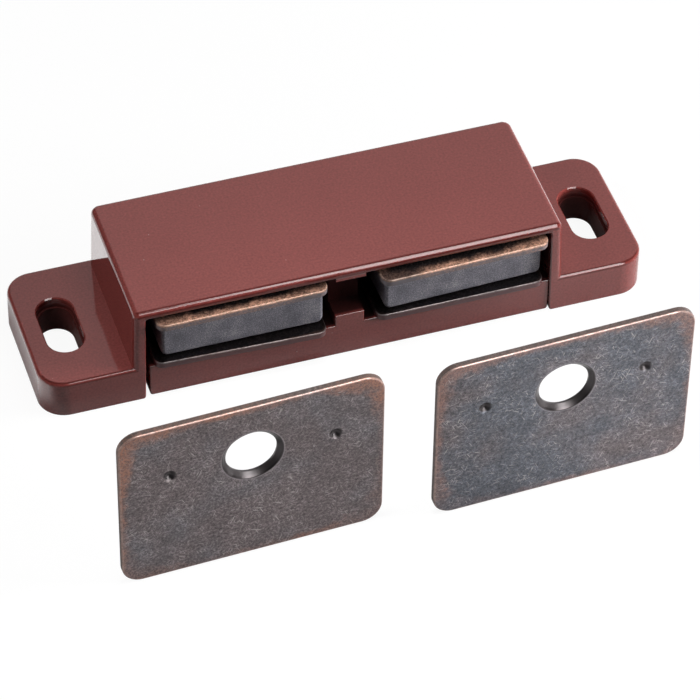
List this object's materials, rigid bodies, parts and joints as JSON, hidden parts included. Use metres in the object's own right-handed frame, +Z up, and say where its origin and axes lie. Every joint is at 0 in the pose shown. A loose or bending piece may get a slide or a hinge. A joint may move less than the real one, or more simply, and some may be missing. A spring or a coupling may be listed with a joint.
{
  "type": "magnetic catch",
  "caption": "Magnetic cabinet catch: moulded brown housing with a slotted ear at each end, floating magnet packs in its open front, and flat pierced steel strikes.",
  "frame": {"origin": "on the seating face, midway between the two screw slots and between the front and back of the housing", "axes": "+X along the catch, +Y from its working face to its back, +Z up from the board it is screwed to"},
  "size_m": [0.08, 0.0506, 0.0249],
  "materials": {
    "brown_plastic": "glossy moulded, reddish brown",
    "ferrite": "pressed and sintered, dark grey, matte",
    "pole_steel": "antique copper plate, darkened, copper on the edges",
    "strike_steel": "antique copper plate, mottled dark grey, copper on the edges"
  },
  "bodies": {
    "catch": {"housing": "brown_plastic", "base_plate": "brown_plastic"},
    "pack_left": {"lower_pole_left": "pole_steel", "magnet_left": "ferrite", "upper_pole_left": "pole_steel"},
    "pack_right": {"lower_pole_right": "pole_steel", "magnet_right": "ferrite", "upper_pole_right": "pole_steel"},
    "door_strike_left": {"strike_left": "strike_steel"},
    "door_strike_right": {"strike_right": "strike_steel"}
  },
  "joints": [
    {"name": "pack_left_float", "type": "slide", "parent": "catch", "child": "pack_left", "axis": [0, -1, 0], "range_m": [-0.0008, 0.0008]},
    {"name": "pack_right_float", "type": "slide", "parent": "catch", "child": "pack_right", "axis": [0, -1, 0], "range_m": [-0.0005, 0.0004]},
    {"name": "strike_left_close", "type": "slide", "parent": "catch", "child": "door_strike_left", "axis": [0, 1, 0], "range_m": [0, 0.025]},
    {"name": "strike_right_close", "type": "slide", "parent": "catch", "child": "door_strike_right", "axis": [0, 1, 0], "range_m": [0, 0.0261]}
  ]
}
